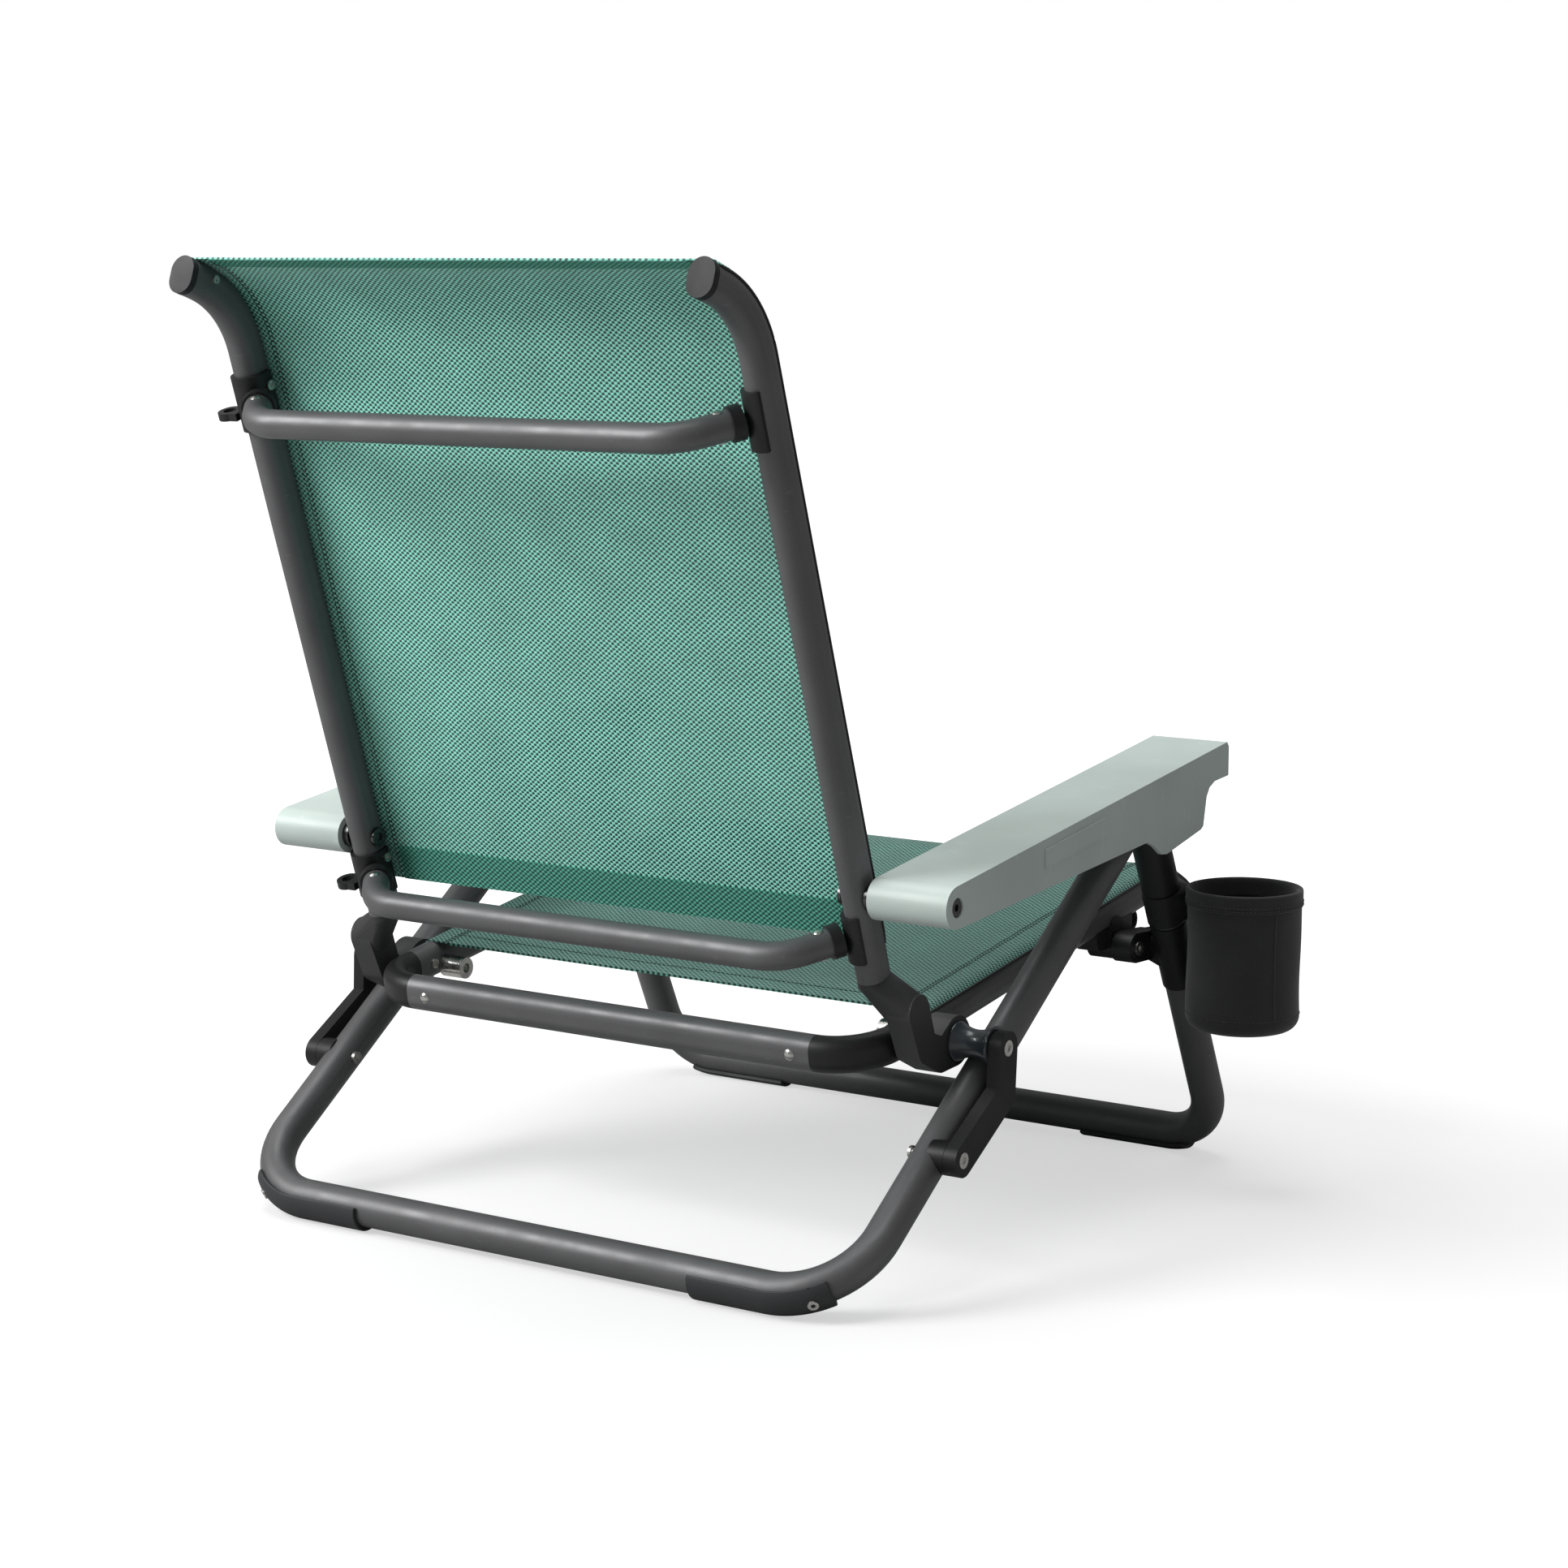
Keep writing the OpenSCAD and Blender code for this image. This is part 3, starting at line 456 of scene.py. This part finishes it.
def across_sling():
    """Profile across a sling as (x, depth past the face, distance from the middle) from left to right.

    It is flat between the tubes and wraps round each tube's front to where it is sewn.
    """
    wrap = [
        (RAIL_X + WRAP_R * math.sin(turn), WRAP_R * (1 - math.cos(turn)), RAIL_X + WRAP_R * turn)
        for turn in (EDGE_TURN * k / EDGE_STEPS for k in range(1, EDGE_STEPS + 1))
    ]
    count = int(RAIL_X / FLAT_STEP)
    flat = [(RAIL_X * k / count, 0.0, RAIL_X * k / count) for k in range(count + 1)]
    half = flat + wrap
    return [(-x, depth, -run) for x, depth, run in half[:0:-1]] + half


def sag_at(x, share, depth):
    """How far the cloth hangs back between the tubes, with soft puckers beside the seams."""
    reach = min(abs(x) / RAIL_X, 1.0)
    belly = depth * (1 - reach ** 2) * math.sin(math.pi * min(max(share, 0), 1)) ** 0.6
    seam = math.exp(-((reach - 0.9) / 0.06) ** 2)
    pucker = 0.28 * MM * seam * math.sin(share * 210 + x * 40)
    return belly + pucker


def back_profile():
    """The line of the back sling up a stile, as (y, z, outward y, outward z, distance)."""
    line = []
    steps = 46
    for k in range(steps + 1):
        z = SLING_BOTTOM + (STILE_RISE - SLING_BOTTOM) * k / steps
        line.append((-SLING_GAP, z, -1.0, 0.0, z - SLING_BOTTOM))
    straight = STILE_RISE - SLING_BOTTOM
    radius = BEND_R + SLING_GAP
    for k in range(1, ARC_STEPS + 1):
        turn = BEND_ANGLE * k / ARC_STEPS
        line.append((BEND_R - radius * math.cos(turn), STILE_RISE + radius * math.sin(turn),
                     -math.cos(turn), math.sin(turn), straight + radius * turn))
    y, z, out_y, out_z, run = line[-1]
    for k in (1, 2, 3):
        on = (STILE_END - 1 * MM) * k / 3
        line.append((y + on * out_z, z - on * out_y, out_y, out_z, run + on))
    return line


def seat_profile():
    """The line of the seat sling along a rail from the rear, down the front roll."""
    line = []
    steps = 38
    for k in range(steps + 1):
        y = RAIL_REAR + (RAIL_FRONT - RAIL_REAR) * k / steps
        line.append((y, SLING_GAP, 0.0, 1.0, RAIL_REAR - y))
    straight = RAIL_REAR - RAIL_FRONT
    radius = BEND_R + SLING_GAP
    for k in range(1, ARC_STEPS + 1):
        turn = BEND_ANGLE * k / ARC_STEPS
        line.append((RAIL_FRONT - radius * math.sin(turn), radius * math.cos(turn) - BEND_R,
                     -math.sin(turn), math.cos(turn), straight + radius * turn))
    return line


CLOTH = 1.1 * MM


def sling(name, line, place, body, node, depth):
    """A stretched sling over two tubes: lofted from the line along a tube and the profile across."""
    # The seat sling takes the copy of the cloth that is darkened by painted shade.
    cloth = SEAT_MESH_PAINTED_SHADE if body == "seat" else MESH
    across = across_sling()
    length = line[-1][4]
    verts, uvs = [], []
    for y, z, out_y, out_z, run in line:
        for x, past, width in across:
            back = past + sag_at(x, run / length, depth)
            verts.append(place(x, y - back * out_y, z - back * out_z))
            uvs.append((width, run))
    made = piece(name, verts, grid_faces(len(line), len(across)), cloth, body, uvs)
    thicken(made, CLOTH)
    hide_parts(node)
    return made


def row_samples(line, place, x, lift, depth):
    """Points and outward directions of a sewn row that runs along a sling at x."""
    length = line[-1][4]
    samples = []
    for y, z, out_y, out_z, run in line:
        back = sag_at(x, run / length, depth) - lift
        out = (place(0, out_y, out_z) - place(0, 0, 0)).normalized()
        samples.append((place(x, y - back * out_y, z - back * out_z), out))
    return samples


def cross_samples(line, place, index, reach, lift, depth):
    """Points and outward directions of a sewn row that runs across a sling."""
    y, z, out_y, out_z, run = line[index]
    out = (place(0, out_y, out_z) - place(0, 0, 0)).normalized()
    samples = []
    count = 60
    for k in range(count + 1):
        x = reach * (2 * k / count - 1)
        back = sag_at(x, run / line[-1][4], depth) - lift
        samples.append((place(x, y - back * out_y, z - back * out_z), out))
    return samples


SEAM_X = 225 * MM
SEAM_GAP = 3.2 * MM


def sewn_sling(name, line, place, body, node, depth):
    """A sling with its side seams, end hems and their stitching."""
    cloth = sling(name, line, place, body, node, depth)
    above = CLOTH / 2 + 0.15 * MM
    rows = []
    for sign in (-1, 1):
        for x in (SEAM_X - SEAM_GAP, SEAM_X):
            for face in (1, -1):
                samples = row_samples(line, place, sign * x, face * above, depth)
                rows.append([(at, out * face) for at, out in samples])
    side_seams = stitches(name + "_side_stitching", rows, DARK_THREAD, body)
    hem_rows = []
    for index in (2, len(line) - 3):
        for face in (1, -1):
            samples = cross_samples(line, place, index, SEAM_X, face * above, depth)
            hem_rows.append([(at, out * face) for at, out in samples])
    hem_seams = stitches(name + "_hem_stitching", hem_rows, DARK_THREAD, body)
    across = across_sling()
    for label, part in (("lower", line[:4]), ("upper", line[-5:])):
        hem = hem_band(name + "_" + label + "_hem", part, line[-1][4], place, body, across, depth)
    edge = edge_cords(name, line, place, body)
    return cloth


def hem_band(name, part, length, place, body, across, depth):
    """The cloth turned under along an end, a second layer on the side of the tubes."""
    lift = -(CLOTH / 2 + 0.45 * MM)
    inner = [column for column in across if abs(column[0]) < RAIL_X - SECTION_R - 4 * MM]
    verts, uvs = [], []
    for y, z, out_y, out_z, run in part:
        for x, past, width in inner:
            back = past + sag_at(x, run / length, depth) - lift
            verts.append(place(x, y - back * out_y, z - back * out_z))
            uvs.append((width, run))
    made = piece(name, verts, grid_faces(len(part), len(inner)), BINDING, body, uvs)
    return thicken(made, 0.8 * MM)


def edge_cords(name, line, place, body):
    """The corded edge of a sling, a bead held in the groove of each tube."""
    verts, faces = [], []
    turn = EDGE_TURN + 0.06
    x = RAIL_X + WRAP_R * math.sin(turn)
    back = WRAP_R * (1 - math.cos(turn))
    for sign in (-1, 1):
        points = []
        for y, z, out_y, out_z, _ in line:
            points.append(place(sign * x, y - back * out_y, z - back * out_z))
        tube_verts, tube_faces = tube_along(points, 1.3 * MM, 8)
        faces += [tuple(index + len(verts) for index in face) for face in tube_faces]
        verts += tube_verts
    return piece(name + "_edge_bead", verts, faces, BLACK, body)


BACK_LINE = back_profile()
SEAT_LINE = seat_profile()
sewn_sling("back_sling_cloth", BACK_LINE, back_at, "back", "back_sling", 1.6 * MM)
sewn_sling("seat_sling_cloth", SEAT_LINE, seat_at, "seat", "seat_sling", 3.0 * MM)

# ---------- cup holder ----------


def cup_holder():
    """Pouch sewn from one cloth tube and a base: rounded foot, soft creases, turned hem at the mouth."""
    low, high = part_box("cup_pouch")
    axis = (low + high) / 2
    outer = (high.x - low.x) / 2
    height = high.z - low.z
    wall = 2.4 * MM
    foot = 13 * MM
    around = 96
    hem_top = height - 0.5 * MM

    def swell(turn, z):
        share = z / height
        crease = 0.55 * math.sin(3 * turn + 4.2 * share) + 0.45 * math.sin(5 * turn - 7 * share + 1)
        fade = math.sin(math.pi * min(max(share, 0), 1))
        return -0.9 * MM * fade + 0.75 * MM * fade * crease

    def profile(inset, floor):
        line = [(0.0, floor), ((outer - inset - foot) * 0.55, floor + 0.2 * MM)]
        for k in range(9):
            turn = math.pi / 2 * k / 8
            line.append((outer - inset - foot + foot * math.sin(turn), floor + foot - foot * math.cos(turn)))
        steps = 26
        rise = (hem_top - floor - foot) / steps
        line += [(outer - inset, floor + foot + rise * k) for k in range(1, steps + 1)]
        return line

    outside = profile(0, 0)
    inside = profile(wall, wall)[::-1]
    line = outside[1:] + inside[:-1]
    verts, uvs = [], []
    run = 0.0
    for i, (radius, z) in enumerate(line):
        if i:
            run += math.hypot(radius - line[i - 1][0], z - line[i - 1][1])
        for k in range(around):
            turn = 2 * math.pi * k / around
            r = radius + (swell(turn, z) if radius > outer * 0.7 else 0)
            verts.append(Vector((axis.x + r * math.cos(turn), axis.y + r * math.sin(turn), low.z + z)))
            uvs.append((outer * turn, run))
    faces = grid_faces(len(line), around, close_rows=True)
    base = len(verts)
    verts.append(Vector((axis.x, axis.y, low.z + 0.3 * MM)))
    uvs.append((0, 0))
    verts.append(Vector((axis.x, axis.y, low.z + wall)))
    uvs.append((0, run))
    last = (len(line) - 1) * around
    faces += [(base, (k + 1) % around, k) for k in range(around)]
    faces += [(base + 1, last + k, last + (k + 1) % around) for k in range(around)]
    pouch = piece("cup_pouch_cloth", verts, faces, CUP_CLOTH, "front_legs", uvs, angle=50)
    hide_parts("cup_pouch")

    hem_low = height - 14 * MM
    band = [(outer + 0.25 * MM, hem_low), (outer + 1.0 * MM, hem_low + 0.7 * MM)]
    band += [(outer + 1.0 * MM, hem_low + 14 * MM * k / 6 - 0.3 * MM) for k in range(1, 6)]
    lip_centre = (outer - wall / 2 + 0.3 * MM, height - 1.1 * MM)
    lip_r = wall / 2 + 0.7 * MM
    band += [
        (lip_centre[0] + lip_r * math.cos(t), lip_centre[1] + lip_r * math.sin(t))
        for t in (math.pi * k / 8 for k in range(9))
    ]
    band += [(outer - wall - 0.7 * MM, hem_low + 14 * MM * k / 6) for k in range(5, -1, -1)]
    verts, uvs = [], []
    run = 0.0
    for i, (radius, z) in enumerate(band):
        if i:
            run += math.hypot(radius - band[i - 1][0], z - band[i - 1][1])
        for k in range(around):
            turn = 2 * math.pi * k / around
            r = radius + swell(turn, min(z, height * 0.94)) * 0.8
            verts.append(Vector((axis.x + r * math.cos(turn), axis.y + r * math.sin(turn), low.z + z)))
            uvs.append((outer * turn, run))
    faces = grid_faces(len(band), around, close_rows=True)
    last = (len(band) - 1) * around
    faces += [(last + k, last + (k + 1) % around, (k + 1) % around, k) for k in range(around)]
    rim = piece("cup_rim_hem", verts, faces, CUP_CLOTH, "front_legs", uvs, angle=50)
    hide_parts("cup_rim")

    def ring_row(radius_out, z):
        samples = []
        for k in range(around * 2 + 1):
            turn = math.pi * k / around
            r = outer + radius_out + swell(turn, min(z, height * 0.94)) * 0.8
            out = Vector((math.cos(turn), math.sin(turn), 0))
            samples.append((Vector((axis.x, axis.y, low.z + z)) + out * r, out))
        return samples

    rows = [ring_row(1.15 * MM, hem_low + 2.2 * MM), ring_row(1.15 * MM, hem_low + 5.0 * MM)]
    rows.append(ring_row(-0.1 * MM, foot + 1.5 * MM))
    stitches("cup_stitching", rows, CUP_THREAD, "front_legs", pitch=3.4 * MM, radius=0.36 * MM)
    seam_points = []
    seam_turn = math.radians(150)
    for k in range(24):
        z = foot + (hem_low - foot) * k / 23
        r = outer + swell(seam_turn, z) + 0.2 * MM
        outward = Vector((math.cos(seam_turn), math.sin(seam_turn), 0))
        seam_points.append(Vector((axis.x, axis.y, low.z + z)) + r * outward)
    seam_verts, seam_faces = tube_along(seam_points, 0.9 * MM, 8)
    piece("cup_side_seam", seam_verts, seam_faces, CUP_CLOTH, "front_legs")


cup_holder()

# ---------- finishes of the CAD nodes ----------

METAL_WORDS = ("rivets", "screws", "pins", "bolt", "bush", "studs")
PAINTED_WORDS = ("stile_left", "stile_right", "crossbar", "seat_rail", "seat_rear_bar",
                 "seat_front_bar", "rear_leg", "front_leg")


def finish_of(name):
    """The material and the edge rounding of a CAD node."""
    if name.startswith("armrest_bolt"):
        return DARK_STEEL, 0.25 * MM
    if any(word in name for word in METAL_WORDS):
        return STEEL, 0.25 * MM
    if name.startswith("hook"):
        return HOOK_BLACK, 2.0 * MM
    if name in ("armrest_left", "armrest_right"):
        return SAGE, 2.2 * MM
    if name.startswith("spool"):
        return SPOOL, 0.5 * MM
    if "plugs" in name or "caps" in name:
        return CAP_BLACK, 1.6 * MM
    if any(name.startswith(word) or word in name[-9:] for word in PAINTED_WORDS):
        return FRAME_PAINT, 0
    if "foot" in name:
        return FOOT_BLACK, 0.9 * MM
    if name.startswith("link"):
        return LINK_BLACK, 1.2 * MM
    return BLACK, 0.9 * MM


for node_name, node_object in frame["nodes"].items():
    if node_object.hide_render:
        continue
    material, rounding = finish_of(node_name)
    node_object.data.materials.clear()
    node_object.data.materials.append(material)
    weld = node_object.modifiers.new("weld", "WELD")
    weld.merge_threshold = 0.004 * MM
    if rounding:
        round_edges(node_object, rounding)
    smooth = node_object.modifiers.new("smooth", "WEIGHTED_NORMAL")
    smooth.keep_sharp = True

# ---------- stage, light and camera ----------


def area_light(name, at, target, size, energy):
    data = bpy.data.lights.new(name, "AREA")
    data.shape = "DISK"
    data.size = size
    data.energy = energy
    light = bpy.data.objects.new(name, data)
    bpy.context.scene.collection.objects.link(light)
    light.location = at
    light.rotation_euler = (Vector(target) - Vector(at)).to_track_quat("-Z", "Y").to_euler()


def studio():
    """Pale floor and backdrop, a key light behind the chair's left and a soft light overhead."""
    floor_mesh = bpy.data.meshes.new("studio_floor")
    reach = 14.0
    corners = [(-reach, -reach, 0), (reach, -reach, 0), (reach, reach, 0), (-reach, reach, 0)]
    floor_mesh.from_pydata(corners, [], [(0, 1, 2, 3)])
    floor_mesh.materials.append(paper_floor())
    floor = bpy.data.objects.new("studio_floor", floor_mesh)
    bpy.context.scene.collection.objects.link(floor)

    world = bpy.data.worlds.new("studio_world")
    bpy.context.scene.world = world
    world.use_nodes = True
    tree = world.node_tree
    lighting = tree.nodes["Background"]
    lighting.inputs["Color"].default_value = (1, 1, 1, 1)
    lighting.inputs["Strength"].default_value = 0.26
    backdrop = tree.nodes.new("ShaderNodeBackground")
    backdrop.inputs["Color"].default_value = (1, 1, 1, 1)
    seen = tree.nodes.new("ShaderNodeLightPath").outputs["Is Camera Ray"]
    either = tree.nodes.new("ShaderNodeMixShader")
    tree.links.new(seen, either.inputs[0])
    tree.links.new(lighting.outputs[0], either.inputs[1])
    tree.links.new(backdrop.outputs[0], either.inputs[2])
    tree.links.new(either.outputs[0], tree.nodes["World Output"].inputs[0])
    bpy.context.scene.view_settings.view_transform = "Standard"

    chair_middle = (0, 0, 0.3)
    area_light("key", (1.9, 2.1, 2.1), chair_middle, size=1.7, energy=98)
    area_light("top", (0.3, 0.1, 3.0), chair_middle, size=2.2, energy=52)


def camera():
    """The camera of the reference view: low, behind the chair on the sitter's right."""
    azimuth = math.radians(214.312)
    elevation = math.radians(8.711)
    at = Vector((-1.59007, 2.29590, 0.77205))
    back = Vector((math.sin(azimuth) * math.cos(elevation),
                   -math.cos(azimuth) * math.cos(elevation),
                   math.sin(elevation)))
    data = bpy.data.cameras.new("camera")
    data.sensor_width = 36
    data.lens = 80.19
    made = bpy.data.objects.new("camera", data)
    bpy.context.scene.collection.objects.link(made)
    made.location = at
    made.rotation_euler = back.to_track_quat("Z", "Y").to_euler()
    bpy.context.scene.camera = made


studio()
camera()
